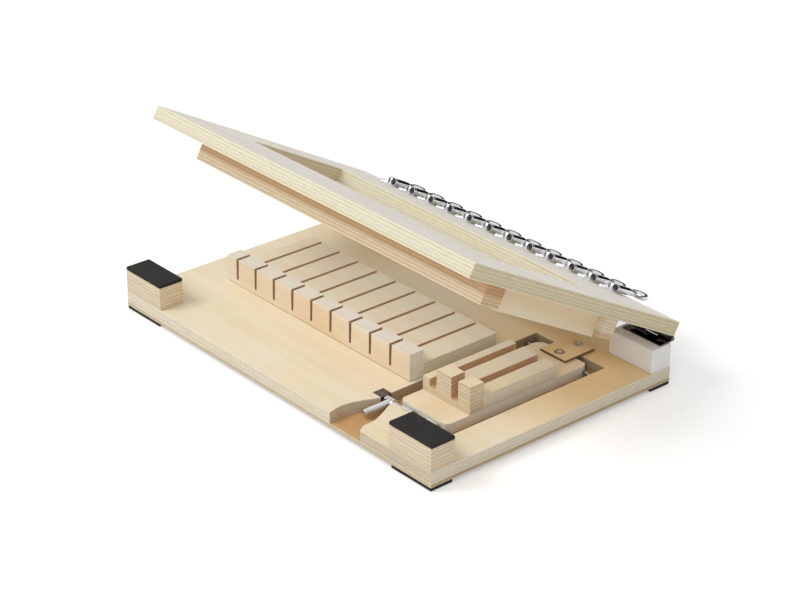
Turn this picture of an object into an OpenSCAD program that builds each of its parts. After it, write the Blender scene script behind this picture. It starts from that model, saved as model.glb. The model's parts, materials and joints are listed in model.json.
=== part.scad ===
/* [Base] */
// Width of the base, left to right
base_w = 396; // [380:1:440]
// Depth of the base, front to back
base_d = 260; // [255:1:300]
// Thickness of the thin lower board
lower_board_t = 3.5; // [3:0.5:6]
// Thickness of the upper board
upper_board_t = 9.7; // [9.5:0.1:14]
// Width of a rubber foot
foot_w = 46; // [20:1:60]
// Depth of a rubber foot
foot_d = 22; // [12:1:30]
// Thickness of a rubber foot
foot_t = 3; // [1:0.5:6]
// Width of a stop block
stop_w = 49; // [30:1:60]
// Depth of a stop block
stop_d = 24; // [16:1:36]
// Height of a stop block
stop_h = 20.7; // [16:0.1:21]
// Thickness of the rubber pad on a stop block
pad_t = 3.1; // [1:0.1:3.2]

/* [Bed] */
// Left end of the bed and fence, from the left side of the base
bed_x = 37.4; // [37:0.2:48]
// Front face of the fence, from the front of the base
fence_y = 80.5; // [76:0.5:90]
// Thickness of the fence
fence_d = 15; // [9:0.5:18]
// Height of the fence above the base
fence_h = 24.5; // [18:0.5:24.5]
// Distance from the bed to the back edge of the base
bed_back = 84.5; // [70:0.5:110]
// Thickness of the bed
bed_t = 12.5; // [9:0.5:15]
// Width of a wire slot in the fence and bed
wire_slot_w = 3; // [1.6:0.1:4]
// Height of the wire slots' floor above the base
wire_slot_floor = 5; // [2:0.2:5.6]

/* [Wires] */
// Distance between two wires
wire_pitch = 25.4; // [24:0.1:25.8]
// Diameter of a wire
wire_dia = 0.6; // [0.4:0.05:0.8]
// Depth of the wires below the hinged frame
wire_drop = 18; // [16:0.1:19]

/* [Carriage] */
// Distance from the small carriage to the right side of the base
carriage_right = 46; // [44:0.5:50]
// Width of the carriage
carriage_w = 55.5; // [54:0.5:57]
// Gap between the bed and the carriage
carriage_gap = 15.5; // [13:0.1:20]
// Front end of the carriage plate, from the front of the base
plate_y = 57; // [56.9:0.1:58]
// Distance from the carriage plate to the back edge of the base
plate_back = 49; // [45:0.5:52]
// Front face of the carriage's comb, from the front of the base
comb_y = 81; // [76:0.5:90]
// Depth of the comb
comb_d = 14.5; // [10:0.5:18]
// Width of a slot in the comb
comb_slot_w = 8.2; // [7:0.1:8.4]
// Shift of the comb's slots to the right of the wires
comb_slot_shift = 0.8; // [0:0.1:1]
// Height of the comb's slot floor above the carriage plate
comb_slot_floor = 5.4; // [4:0.2:6]
// Diameter of the rod on which the carriage slides
rod_dia = 4; // [3:0.2:5]
// Distance of the rod's axis from the back end of the carriage plate
rod_back = 4; // [3.5:0.1:5]

/* [Strap] */
// Width of the strap
strap_w = 29.1; // [20:0.5:32]
// Length of the strap in front of its front screw
strap_nose = 7.9; // [5:0.1:9]
// Length of the strap behind its back screw
strap_tail = 4.5; // [4:0.1:6]
// Thickness of the strap
strap_t = 2.2; // [2:0.1:3]
// Distance of the screw on which the strap turns behind the carriage plate
strap_pivot_back = 16.1; // [14:0.1:20]
// Distance of the strap's other screw in front of the plate's back end
strap_bite = 5.6; // [5:0.1:8]

/* [Lever] */
// Diameter of the lever's shaft
shaft_dia = 4.4; // [4:0.1:4.8]
// Height of the shaft's axis above the lower board
shaft_h = 5.5; // [5:0.1:5.6]
// Radius of the shaft's two cams
cam_r = 3.2; // [3:0.1:3.6]
// Distance of a cam's centre from the shaft's axis
cam_throw = 1.2; // [0.8:0.1:1.4]
// Diameter of the handle
handle_dia = 6.5; // [5:0.1:7]
// Length of the handle from the shaft's axis
handle_l = 28; // [20:0.5:32]
// Centre line of the handle, from the left end of the carriage's recess
handle_inset = 5.5; // [5:0.1:6]

/* [Frame] */
// Thickness of the hinged frame
frame_t = 12.5; // [11:0.5:15]
// Width of the frame's two side rails
side_rail = 44; // [40:1:48]
// Width of the frame's back rail
back_rail = 72.6; // [70:0.2:76]
// Gap between the window of the shut frame and the fence
window_gap = 4.1; // [3:0.1:12]
// Height of the wood below the wires in the bars
wire_cover = 1.7; // [1.4:0.1:3]
// Inset of the bars from the sides of the frame
bar_inset = 19.3; // [17:0.1:20]
// Thickness of the front bar, front to back
front_bar_d = 21.5; // [16:0.1:28]
// Thickness of the back bar, front to back
back_bar_d = 15.5; // [12:0.1:18]
// Thickness of the two side bars
side_bar_t = 9.5; // [6:0.1:10]
// Height of the two side bars
side_bar_h = 22.2; // [18:0.1:22.6]
// Angle by which the frame stands open
open_angle = 28.7; // [20:0.1:60]

/* [Hinges] */
// Length of a hinge along its pin
hinge_l = 42; // [30:1:42]
// Diameter of the hinge's barrel
barrel_dia = 5; // [5:0.1:5.2]
// Thickness of a hinge leaf
leaf_t = 1.1; // [0.8:0.1:1.2]
// Depth of a hinge leaf from the pin's axis
leaf_d = 14; // [13:0.5:16]
// Depth of a hinge block
hinge_block_d = 22; // [18:0.5:24]
// Width of the right hinge block
right_hinge_block_w = 49; // [44:1:52]
// Gap between the left hinge block and the first string post
first_post_gap = 2.7; // [2:0.1:4]
// Height of a hinge block
hinge_block_h = 21.4; // [21.4:0.1:22]

/* [Tuning machines] */
// Diameter of a machine's worm barrel
worm_case_dia = 6.8; // [6.4:0.1:7.2]
// Height of the worm's axis above the frame
worm_h = 4.3; // [4.2:0.1:4.6]
// Diameter of a worm wheel's case
wheel_case_dia = 12; // [11.8:0.1:12.2]
// Thickness of the roof of a wheel's case
case_roof = 0.8; // [0.6:0.1:1.2]
// Diameter of a string post
post_dia = 4.6; // [4.2:0.1:4.8]
// Depth of the posts' lower ends below the frame
post_drop = 14; // [12:0.5:15]
// Distance of the posts from the back edge of the frame
post_f = 9.5; // [9:0.1:10.5]
// Diameter of a knob's button
button_dia = 16; // [12:0.5:17]
// Thickness of a button
button_t = 7.5; // [5:0.1:8]

/* [Hidden] */
$fn = 48;
overrun = 1;
board_top = lower_board_t + upper_board_t;
running_fit = 0.05;
body_gap = 0.3;
screw_fit = 0.03;

// Carriage and bed between the sides and the back edge of the base
carriage_x = base_w - carriage_right - carriage_w;
bed_w = carriage_x - carriage_gap - bed_x;
bed_d = base_d - bed_back - fence_y - fence_d;
plate_d = base_d - plate_back - plate_y;

// Recess of the carriage, with the room that the carriage needs round it
recess_left = 11.5;
recess_right = 13.5;
recess_back = 6.5;
shaft_front_room = 4.5;
cam_gap = body_gap;
shaft_gap = cam_throw + cam_r + cam_gap;
recess_front = shaft_gap + shaft_front_room;
recess_x = carriage_x - recess_left;
recess_w = carriage_w + recess_left + recess_right;
recess_y = plate_y - recess_front;
recess_d = plate_d + recess_front + recess_back;

// Carriage plate, comb and bed
plate_lift = body_gap;
plate_t = upper_board_t - plate_lift;
plate_z = lower_board_t + plate_lift;
plate_corner_r = 5;
plate_back_left_r = 10;
comb_h = fence_h;
carriage_bed_y = comb_y + comb_d;
carriage_bed_d = fence_y + fence_d + bed_d - carriage_bed_y;
comb_slot_r = 2.4;

// Rod of the carriage
rod_h = 3.9;
rod_z = lower_board_t + rod_h;
rod_y = plate_y + plate_d - rod_back;
rod_seat = 7;

// Lever and its bearings
shaft_y = plate_y - shaft_gap;
shaft_z = lower_board_t + shaft_h;
handle_x = recess_x + handle_inset;
cam_w = 12;
cam_from_ends = 8;
hub_r = 4;
hub_w = 9;
bearing_w = 9.8;
bearing_d = 11;
bearing_h = 9;
bearing_side_gap = 0.25;
bush_r = 3.4;
bush_l = 6;

// Finger pocket in front of the handle: its sides as shares of its width and depth
pocket_w = 39.6;
pocket_left = 15.1;
pocket_left_shares = [[0.066, 0], [0.02, 0.16], [0, 0.32], [0.035, 0.5], [0.11, 0.68], [0.197, 0.85],
                      [0.255, 1]];
pocket_right_shares = [[1, 0], [0.9, 0.14], [0.885, 0.28], [0.87, 0.41], [0.79, 0.58], [0.694, 0.75],
                       [0.593, 0.91], [0.56, 1]];
pocket_steps = 4;

// Strap and its screws
strap_gap = body_gap;
strap_z = board_top + strap_gap;
strap_shift = 0.75;
strap_pitch = strap_pivot_back + strap_bite;
strap_l = strap_nose + strap_pitch + strap_tail;
strap_pivot_x = carriage_x + carriage_w / 2 + strap_shift;
strap_pivot_y = plate_y + plate_d + strap_pivot_back;
strap_screw_r = 1.7;
strap_head_r = 3.6;
strap_loose_fit = 0.6;
strap_turn_fit = 0.1;
strap_screw_l = 9;
strap_short_screw_l = 5.1;

// Hinges
leaf_knuckle_n = 3;
knuckle_gap = 0.3;
pin_r = 1.25;
pin_head_r = 1.9;
pin_head_t = 0.8;
axis_behind_frame = 1.6;
axis_behind_base = 2.5;
axis_y = base_d + axis_behind_base;
axis_z = board_top + hinge_block_h + barrel_dia / 2;
right_hinge_inset = 2;
right_hinge_x = base_w - hinge_l - right_hinge_inset;
left_hinge_x = 1;
left_hinge_block_w = hinge_l + 2 * left_hinge_x;
hinge_screw_n = 3;
hinge_screw_r = 1.2;
hinge_screw_head_r = 2.2;
hinge_base_screw_l = 12;
hinge_frame_screw_l = 6.5;
hinge_screw_back = 8.5;

// Screws from below into the blocks
base_screw_r = 1.75;
base_screw_head_r = 3.4;
base_screw_head_t = 1.8;
base_screw_l = 22;
base_screw_share = 0.28;

// Bars below the frame
bar_h = wire_drop + wire_cover;
fence_room = 13.6;
fence_f = base_d + axis_behind_base - axis_behind_frame - fence_y;
front_bar_f = fence_f + fence_room;
front_rail = base_d - fence_f - window_gap;
back_bar_f = 50.8;
side_bar_set = 6.7;
wire_hole_r = wire_dia / 2 + body_gap;
anchor_set = 7.4;
anchor_f = front_bar_f + anchor_set;
anchor_r = 2.2;
anchor_room = 0.1;
anchor_h = 3.6;
anchor_inset = 0.5;

// Tuning machines
post_r = post_dia / 2;
wire_gap = 0.2;
post_shift = post_r + wire_gap + wire_dia / 2;
post_hole_fit = 0.3;
case_wall = 0.7;
wheel_side_room = 0.8;
case_floor = 2.1;
wheel_t = 3.4;
wheel_room = 0.3;
wheel_r = wheel_case_dia / 2 - case_wall - wheel_side_room;
wheel_z = frame_t + case_floor + wheel_room;
wheel_case_h = case_floor + wheel_t + 2 * wheel_room + case_roof;
worm_r = 2.2;
gear_gap = 0.5;
worm_shift = wheel_r + worm_r + gear_gap - post_shift;
worm_front_f = 18;
collar_r = 2.9;
collar_end = 5;
neck_r = 2.7;
neck_l = 2.7;
plug_wall = 0.65;
plug_r = worm_case_dia / 2 - plug_wall;
plug_t = 1.4;
plug_proud = 0.4;
ear_r = 2.8;
ear_reach = 11.353;
machine_gap = 1.2;
ear_room = wire_pitch - post_shift - worm_shift - worm_case_dia / 2 - ear_r - machine_gap;
ear_side = min(ear_room, ear_reach);
ear_x = post_shift + ear_side;
ear_f = post_f + sqrt(ear_reach * ear_reach - ear_side * ear_side);
ear_neck_w = 5;
ear_t = 1.5;
ear_screw_r = 1;
ear_screw_head_r = 1.9;
ear_screw_head_t = 0.9;
ear_screw_l = 5.5;
string_hole_r = 0.55;
string_hole_h = 10;

// Row of wires: the first one beside the left hinge, and as many as leave room at the right
first_wire_x = left_hinge_block_w + first_post_gap + post_r + post_shift;
last_wire_room = 60;
wire_n = 1 + floor((base_w - first_wire_x - last_wire_room) / wire_pitch);
carriage_wires = wires_over(carriage_x, carriage_w);
bed_wires = wires_over(bed_x, bed_w);

// Winding of a wire on its post
coil_turns = 1.25;
coil_pitch = 1.2;
coil_steps = 12;
coil_start_h = string_hole_h + coil_pitch;
coil_r = post_shift;
wire_sides = 6;
wire_bend = 0.5;

// Colours
birch = "burlywood";
ply = "tan";
rubber = [0.1, 0.1, 0.1];
plastic = "white";
steel = "silver";
dark_steel = [0.3, 0.3, 0.32];

MACHINES = [for (k = [1:wire_n]) k];

function wire_x(k) = first_wire_x + k * wire_pitch;
function wires_over(x, w) = [for (k = [0:wire_n - 1]) if (wire_x(k) > x && wire_x(k) < x + w) k];

// Smooth line through chosen points, for the sides of the finger pocket
function through(p, i, t) =
    let (a = p[max(i - 1, 0)], b = p[i], c = p[i + 1], d = p[min(i + 2, len(p) - 1)])
    ((b * 2) + (c - a) * t + (a * 2 - b * 5 + c * 4 - d) * t * t + (b * 3 - a - c * 3 + d) * t * t * t) / 2;
function smooth(p, n) =
    concat([for (i = [0:len(p) - 2]) for (s = [0:n - 1]) through(p, i, s / n)], [p[len(p) - 1]]);
function backwards(p) = [for (i = [len(p) - 1:-1:0]) p[i]];

// Moves from the front left lower corner of the base to the middle of its underside
module on_base() {
    translate([-base_w / 2, -base_d / 2, 0]) children();
}

// Opens what is drawn lying flat, with the frame's back edge on y = 0 and its underside on z = 0
module on_frame() {
    on_base()
        translate([0, axis_y, axis_z])
            rotate([-open_angle, 0, 0])
                translate([0, -axis_behind_frame, barrel_dia / 2]) children();
}

// Axis of the hinge in the frame's flat drawing
module on_hinge_axis() {
    translate([0, axis_behind_frame, -barrel_dia / 2]) children();
}

module along_x(r, l) {
    rotate([0, 90, 0]) cylinder(r = r, h = l);
}

// From y = 0 towards the back
module along_y(r, l) {
    rotate([-90, 0, 0]) cylinder(r = r, h = l);
}

// Countersunk screw with its head's top on z = 0, pointing down
module countersunk(r, head_r, head_t, l) {
    translate([0, 0, -head_t]) cylinder(r1 = r, r2 = head_r, h = head_t);
    translate([0, 0, -l]) cylinder(r = r, h = l);
}

// Cross slots in the top of a countersunk screw
module driver_cross(head_r, depth) {
    cross_w = head_r / 5;
    for (turn = [0, 90])
        rotate([0, 0, turn])
            translate([-head_r * 0.6, -cross_w / 2, -depth])
                cube([head_r * 1.2, cross_w, depth + overrun]);
}

// Places of the screws that hold the blocks from below
module at_base_screws() {
    for (block = [[0, 0, stop_w, stop_d], [base_w - stop_w, 0, stop_w, stop_d],
                  [0, base_d - hinge_block_d, left_hinge_block_w, hinge_block_d],
                  [base_w - right_hinge_block_w, base_d - hinge_block_d, right_hinge_block_w, hinge_block_d]])
        for (share = [base_screw_share, 1 - base_screw_share])
            translate([block[0] + block[2] * share, block[1] + block[3] / 2, 0]) children();
}

module base_screw_holes() {
    at_base_screws()
        mirror([0, 0, 1])
            countersunk(base_screw_r + screw_fit, base_screw_head_r + screw_fit, base_screw_head_t,
                        base_screw_l + screw_fit);
}

module lower_board() {
    color(birch) on_base() difference() {
        cube([base_w, base_d, lower_board_t]);
        base_screw_holes();
    }
}

module finger_pocket() {
    size = [pocket_w, recess_y];
    left = smooth([for (s = pocket_left_shares) [s[0] * size[0], s[1] * size[1]]], pocket_steps);
    right = smooth([for (s = pocket_right_shares) [s[0] * size[0], s[1] * size[1]]], pocket_steps);
    front = [[left[0][0], -overrun], [right[0][0], -overrun]];
    back = [[right[len(right) - 1][0], recess_y + overrun], [left[len(left) - 1][0], recess_y + overrun]];
    translate([handle_x - pocket_left, 0, lower_board_t - overrun])
        linear_extrude(upper_board_t + 2 * overrun)
            polygon(concat([front[0]], [front[1]], right, back, backwards(left)));
}

module bearing_notch() {
    translate([recess_x - bearing_w - 2 * bearing_side_gap, shaft_y - bearing_d / 2 - bearing_side_gap,
               lower_board_t - overrun])
        cube([bearing_w + 2 * bearing_side_gap + overrun, bearing_d + 2 * bearing_side_gap,
              upper_board_t + 2 * overrun]);
}

module upper_board() {
    color(birch) on_base() difference() {
        translate([0, 0, lower_board_t]) cube([base_w, base_d, upper_board_t]);
        translate([recess_x, recess_y, lower_board_t - overrun])
            cube([recess_w, recess_d, upper_board_t + 2 * overrun]);
        finger_pocket();
        bearing_notch();
        translate([recess_x + recess_w, shaft_y, shaft_z]) along_x(bush_r + screw_fit, bush_l + body_gap);
        guide_rod_solid(screw_fit);
        translate([strap_pivot_x, strap_pivot_y, strap_z + strap_t])
            cylinder(r = strap_screw_r + screw_fit, h = 2 * (strap_screw_l + screw_fit), center = true);
        base_screw_holes();
    }
}

module stop_block(x) {
    color(ply) on_base() difference() {
        translate([x, 0, board_top]) cube([stop_w, stop_d, stop_h]);
        base_screw_holes();
    }
}

module left_stop_block() { stop_block(0); }
module right_stop_block() { stop_block(base_w - stop_w); }

module stop_pads() {
    color(rubber) on_base()
        for (x = [0, base_w - stop_w])
            translate([x, 0, board_top + stop_h]) cube([stop_w, stop_d, pad_t]);
}

module rubber_feet() {
    color(rubber) on_base()
        for (x = [0, base_w - foot_w])
            for (y = [0, base_d - foot_d])
                translate([x, y, -foot_t]) cube([foot_w, foot_d, foot_t]);
}

module wire_slots() {
    for (k = bed_wires)
        translate([wire_x(k) - wire_slot_w / 2, fence_y - overrun, board_top + wire_slot_floor])
            cube([wire_slot_w, fence_d + bed_d + 2 * overrun, fence_h]);
}

module bed_board() {
    color(birch) on_base() difference() {
        translate([bed_x, fence_y + fence_d, board_top]) cube([bed_w, bed_d, bed_t]);
        wire_slots();
    }
}

module front_fence() {
    color(ply) on_base() difference() {
        translate([bed_x, fence_y, board_top]) cube([bed_w, fence_d, fence_h]);
        wire_slots();
    }
}

module hinge_block(x, w, leaf_x) {
    color(plastic) on_base() difference() {
        translate([x, base_d - hinge_block_d, board_top]) cube([w, hinge_block_d, hinge_block_h]);
        base_screw_holes();
        hinge_base_screw_set(leaf_x, screw_fit);
    }
}

module left_hinge_block() { hinge_block(0, left_hinge_block_w, left_hinge_x); }
module right_hinge_block() { hinge_block(base_w - right_hinge_block_w, right_hinge_block_w, right_hinge_x); }

// Screws of one hinge leaf, a row along x that starts at the leaf's left end
module at_hinge_screws() {
    for (i = [0:hinge_screw_n - 1])
        translate([hinge_l * (i + 0.5) / hinge_screw_n, 0, 0]) children();
}

module hinge_screw(l, fit) {
    countersunk(hinge_screw_r + fit, hinge_screw_head_r + fit, leaf_t, l + fit);
}

module hinge_base_screw_set(x, fit) {
    translate([x, axis_y - hinge_screw_back, axis_z - barrel_dia / 2 + leaf_t])
        at_hinge_screws() hinge_screw(hinge_base_screw_l, fit);
}

module hinge_frame_screw_set(x, fit) {
    on_hinge_axis()
        translate([x, -hinge_screw_back, barrel_dia / 2 - leaf_t])
            mirror([0, 0, 1])
                at_hinge_screws() hinge_screw(hinge_frame_screw_l, fit);
}

// Leaf below its barrel, with the axis of the pin on the x axis
module hinge_leaf(knuckles) {
    pitch = hinge_l / leaf_knuckle_n;
    r = barrel_dia / 2;
    difference() {
        union() {
            translate([0, -leaf_d, -r]) cube([hinge_l, leaf_d - r - body_gap, leaf_t]);
            for (i = knuckles)
                translate([pitch * i + (i == 0 ? 0 : knuckle_gap / 2), 0, 0]) {
                    w = pitch - (i == 0 || i == leaf_knuckle_n - 1 ? knuckle_gap / 2 : knuckle_gap);
                    translate([0, -r - body_gap - overrun, -r]) cube([w, r + body_gap + overrun, leaf_t]);
                    along_x(r, w);
                }
        }
        translate([-overrun, 0, 0]) along_x(pin_r + running_fit, hinge_l + 2 * overrun);
    }
}

module hinge_base_leaves() {
    color(dark_steel) on_base() difference() {
        for (x = [left_hinge_x, right_hinge_x])
            translate([x, axis_y, axis_z]) hinge_leaf([0, 2]);
        for (x = [left_hinge_x, right_hinge_x])
            hinge_base_screw_set(x, screw_fit);
    }
}

module hinge_frame_leaves() {
    color(dark_steel) on_frame() difference() {
        for (x = [left_hinge_x, right_hinge_x])
            on_hinge_axis() translate([x, 0, 0]) mirror([0, 0, 1]) hinge_leaf([1]);
        for (x = [left_hinge_x, right_hinge_x])
            hinge_frame_screw_set(x, screw_fit);
    }
}

module hinge_pins() {
    color(steel) on_base()
        for (x = [left_hinge_x, right_hinge_x])
            translate([x, axis_y, axis_z]) {
                translate([-running_fit, 0, 0]) along_x(pin_r, hinge_l + 2 * running_fit);
                for (head_x = [-pin_head_t - running_fit, hinge_l + running_fit])
                    translate([head_x, 0, 0]) along_x(pin_head_r, pin_head_t);
            }
}

module hinge_base_screws() {
    color(steel) on_base()
        for (x = [left_hinge_x, right_hinge_x])
            difference() {
                hinge_base_screw_set(x, 0);
                translate([x, axis_y - hinge_screw_back, axis_z - barrel_dia / 2 + leaf_t])
                    at_hinge_screws() driver_cross(hinge_screw_head_r, leaf_t / 2);
            }
}

module hinge_frame_screws() {
    color(steel) on_frame()
        for (x = [left_hinge_x, right_hinge_x])
            hinge_frame_screw_set(x, 0);
}

module base_screws() {
    color(steel) on_base()
        at_base_screws()
            mirror([0, 0, 1]) countersunk(base_screw_r, base_screw_head_r, base_screw_head_t, base_screw_l);
}

module shaft_bearings() {
    color(steel) on_base() {
        difference() {
            translate([recess_x - bearing_w - bearing_side_gap, shaft_y - bearing_d / 2, lower_board_t])
                cube([bearing_w, bearing_d, bearing_h]);
            translate([recess_x - bearing_w - overrun, shaft_y, shaft_z])
                along_x(shaft_dia / 2 + running_fit, bearing_w + 2 * overrun);
        }
        translate([recess_x + recess_w, shaft_y, shaft_z]) difference() {
            along_x(bush_r, bush_l);
            translate([-overrun, 0, 0]) along_x(shaft_dia / 2 + running_fit, bush_l + 2 * overrun);
        }
    }
}

module guide_rod_solid(fit) {
    translate([recess_x - rod_seat, rod_y, rod_z]) along_x(rod_dia / 2 + fit, recess_w + 2 * rod_seat);
}

module guide_rod() {
    color(steel) on_base() guide_rod_solid(0);
}

// Room outside a rounded upright corner at the origin, whose wood lies towards the signs of x and y
module corner_room(r, sign_x, sign_y) {
    difference() {
        translate([sign_x > 0 ? -overrun : -r, sign_y > 0 ? -overrun : -r, -overrun])
            cube([r + overrun, r + overrun, plate_t + 2 * overrun]);
        translate([sign_x * r, sign_y * r, -2 * overrun]) cylinder(r = r, h = plate_t + 4 * overrun);
    }
}

module carriage_plate() {
    r = plate_corner_r;
    color(birch) on_base() difference() {
        translate([carriage_x, plate_y, plate_z]) difference() {
            cube([carriage_w, plate_d, plate_t]);
            corner_room(r, 1, 1);
            translate([carriage_w, 0, 0]) corner_room(r, -1, 1);
            translate([carriage_w, plate_d, 0]) corner_room(r, -1, -1);
            translate([0, plate_d, 0]) corner_room(plate_back_left_r, 1, -1);
        }
        guide_rod_solid(running_fit);
        translate([strap_pivot_x, strap_pivot_y - strap_pitch, strap_z + strap_t])
            cylinder(r = strap_screw_r + screw_fit, h = 2 * (strap_short_screw_l + screw_fit), center = true);
    }
}

module comb_slots() {
    for (k = carriage_wires) {
        slot_x = wire_x(k) + comb_slot_shift - comb_slot_w / 2;
        slot_l = comb_d + carriage_bed_d + 2 * overrun;
        r = comb_slot_r;
        translate([slot_x, comb_y - overrun, board_top + comb_slot_floor]) {
            translate([0, 0, r]) cube([comb_slot_w, slot_l, comb_h]);
            translate([r, 0, 0]) cube([comb_slot_w - 2 * r, slot_l, comb_h]);
            for (x = [r, comb_slot_w - r])
                translate([x, 0, r]) along_y(r, slot_l);
        }
    }
}

module carriage_bed() {
    color(birch) on_base() difference() {
        translate([carriage_x, carriage_bed_y, board_top]) cube([carriage_w, carriage_bed_d, bed_t]);
        comb_slots();
    }
}

module carriage_comb() {
    left_prong = wire_x(carriage_wires[0]) + comb_slot_shift - comb_slot_w / 2 - carriage_x;
    color(ply) on_base() difference() {
        translate([carriage_x, comb_y, board_top]) cube([carriage_w, comb_d, comb_h]);
        translate([carriage_x - overrun, comb_y - overrun, board_top + bed_t])
            cube([left_prong + 2 * overrun, comb_d + 2 * overrun, comb_h]);
        comb_slots();
    }
}

// Screw through the strap, with its head in the strap's top
module strap_screw(y, l) {
    color(dark_steel) on_base() translate([strap_pivot_x, y, strap_z + strap_t]) difference() {
        countersunk(strap_screw_r, strap_head_r, strap_t - strap_gap, l);
        driver_cross(strap_head_r, strap_t / 3);
    }
}

module strap_base_screw() { strap_screw(strap_pivot_y, strap_screw_l); }
module strap_carriage_screw() { strap_screw(strap_pivot_y - strap_pitch, strap_short_screw_l); }

// Hole in the strap round one screw
module strap_seat(y, fit) {
    translate([strap_pivot_x, y, strap_z + strap_t])
        countersunk(strap_screw_r + fit, strap_head_r + fit + strap_turn_fit, strap_t - strap_gap,
                    strap_t + overrun);
}

module retaining_strap() {
    color(birch) on_base() difference() {
        translate([strap_pivot_x - strap_w / 2, strap_pivot_y + strap_tail - strap_l, strap_z])
            cube([strap_w, strap_l, strap_t]);
        strap_seat(strap_pivot_y, strap_turn_fit);
        strap_seat(strap_pivot_y - strap_pitch, strap_loose_fit);
    }
}

module cam_shaft() {
    left_end = recess_x - bearing_w;
    right_end = recess_x + recess_w + bush_l;
    color(steel) on_base() translate([0, shaft_y, shaft_z]) {
        translate([left_end, 0, 0]) along_x(shaft_dia / 2, right_end - left_end);
        for (x = [carriage_x + cam_from_ends, carriage_x + carriage_w - cam_from_ends - cam_w])
            translate([x, cam_throw, 0]) along_x(cam_r, cam_w);
    }
}

module lever_handle() {
    color(steel) on_base() translate([handle_x, shaft_y, shaft_z]) difference() {
        union() {
            translate([-hub_w / 2, 0, 0]) along_x(hub_r, hub_w);
            rotate([90, 0, 0]) cylinder(r = handle_dia / 2, h = handle_l - handle_dia / 4);
            translate([0, -handle_l + handle_dia / 4, 0]) handle_tip();
        }
        translate([-hub_w, 0, 0]) along_x(shaft_dia / 2 + screw_fit, 2 * hub_w);
    }
}

// Rounded end of the handle, with a quarter-round edge
module handle_tip() {
    edge = handle_dia / 4;
    rotate([90, 0, 0]) {
        cylinder(r = handle_dia / 2 - edge, h = edge);
        rotate_extrude() intersection() {
            translate([handle_dia / 2 - edge, 0]) circle(r = edge);
            square([handle_dia, edge]);
        }
    }
}

module at_machines() {
    for (k = [0:wire_n - 1])
        translate([wire_x(k), 0, 0]) children();
}

module frame_panel() {
    color(birch) on_frame() difference() {
        translate([0, -base_d, 0]) cube([base_w, base_d, frame_t]);
        translate([side_rail, front_rail - base_d, -overrun])
            cube([base_w - 2 * side_rail, base_d - front_rail - back_rail, frame_t + 2 * overrun]);
        at_machines() {
            translate([-post_shift, -post_f, -overrun])
                cylinder(r = post_r + post_hole_fit, h = frame_t + 2 * overrun);
            translate([-ear_x, -ear_f, frame_t + ear_t - ear_screw_l - screw_fit])
                cylinder(r = ear_screw_r + screw_fit, h = ear_screw_l);
        }
        for (x = [left_hinge_x, right_hinge_x])
            hinge_frame_screw_set(x, screw_fit);
    }
}

module lower_front_bar() {
    color(ply) on_frame() difference() {
        translate([bar_inset, -front_bar_f - front_bar_d, -bar_h])
            cube([base_w - 2 * bar_inset, front_bar_d, bar_h]);
        at_machines() {
            translate([0, -anchor_f, -wire_drop]) along_y(wire_hole_r, anchor_f - front_bar_f + overrun);
            translate([0, -anchor_f, -bar_h - overrun])
                cylinder(r = anchor_r + anchor_room, h = anchor_h + anchor_inset + overrun);
        }
    }
}

module lower_back_bar() {
    color(ply) on_frame() difference() {
        translate([bar_inset, -back_bar_f - back_bar_d, -bar_h])
            cube([base_w - 2 * bar_inset, back_bar_d, bar_h]);
        at_machines()
            translate([0, -back_bar_f - back_bar_d - overrun, -wire_drop])
                along_y(wire_hole_r, back_bar_d + 2 * overrun);
    }
}

module side_bar(x) {
    color(birch) on_frame()
        translate([x, -front_bar_f, -side_bar_h])
            cube([side_bar_t, front_bar_f - back_bar_f - back_bar_d, side_bar_h]);
}

module left_side_bar() { side_bar(bar_inset + side_bar_set); }
module right_side_bar() { side_bar(base_w - bar_inset - side_bar_set - side_bar_t); }

// Case of one tuning machine, standing on the frame, with the wire on x = 0
module tuner_case() {
    wheel_case_r = wheel_case_dia / 2;
    worm_case_r = worm_case_dia / 2;
    worm_room_r = worm_r + running_fit;
    ear = [ear_x - post_shift, ear_f - post_f];
    difference() {
        union() {
            translate([-post_shift, -post_f, frame_t]) {
                cylinder(r = wheel_case_r, h = wheel_case_h);
                rotate([0, 0, atan2(ear[1], ear[0])])
                    translate([-norm(ear), -ear_neck_w / 2, 0]) cube([norm(ear), ear_neck_w, ear_t]);
            }
            translate([-ear_x, -ear_f, frame_t]) cylinder(r = ear_r, h = ear_t);
            translate([worm_shift, -worm_front_f, frame_t + worm_h]) {
                along_y(worm_case_r, worm_front_f + overrun);
                along_y(collar_r, worm_front_f + collar_end);
            }
        }
        translate([-post_shift, -post_f, frame_t - overrun])
            cylinder(r = post_r + running_fit, h = wheel_case_h);
        translate([-post_shift, -post_f, frame_t + case_floor])
            cylinder(r = wheel_case_r - case_wall, h = wheel_t + 2 * wheel_room);
        translate([worm_shift, -worm_front_f, frame_t + worm_h]) {
            translate([0, -overrun, 0]) along_y(worm_room_r, worm_front_f + collar_end + 2 * overrun);
            translate([0, -overrun, 0]) along_y(plug_r + running_fit, plug_t - plug_proud + overrun);
        }
        translate([-ear_x, -ear_f, frame_t - overrun])
            cylinder(r = ear_screw_r + screw_fit, h = ear_t + 2 * overrun);
    }
}

module tuner_housings() {
    color(steel) on_frame() at_machines() tuner_case();
}

module tuner_end_plugs() {
    color(rubber) on_frame() at_machines()
        translate([worm_shift, -worm_front_f - plug_proud, frame_t + worm_h]) along_y(plug_r, plug_t);
}

module tuner_screws() {
    color(steel) on_frame() at_machines()
        translate([-ear_x, -ear_f, frame_t + ear_t]) {
            translate([0, 0, -ear_screw_l]) cylinder(r = ear_screw_r, h = ear_screw_l);
            difference() {
                cylinder(r = ear_screw_head_r, h = ear_screw_head_t);
                translate([0, 0, ear_screw_head_t]) driver_cross(ear_screw_head_r, ear_screw_head_t / 2);
            }
        }
}

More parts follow.
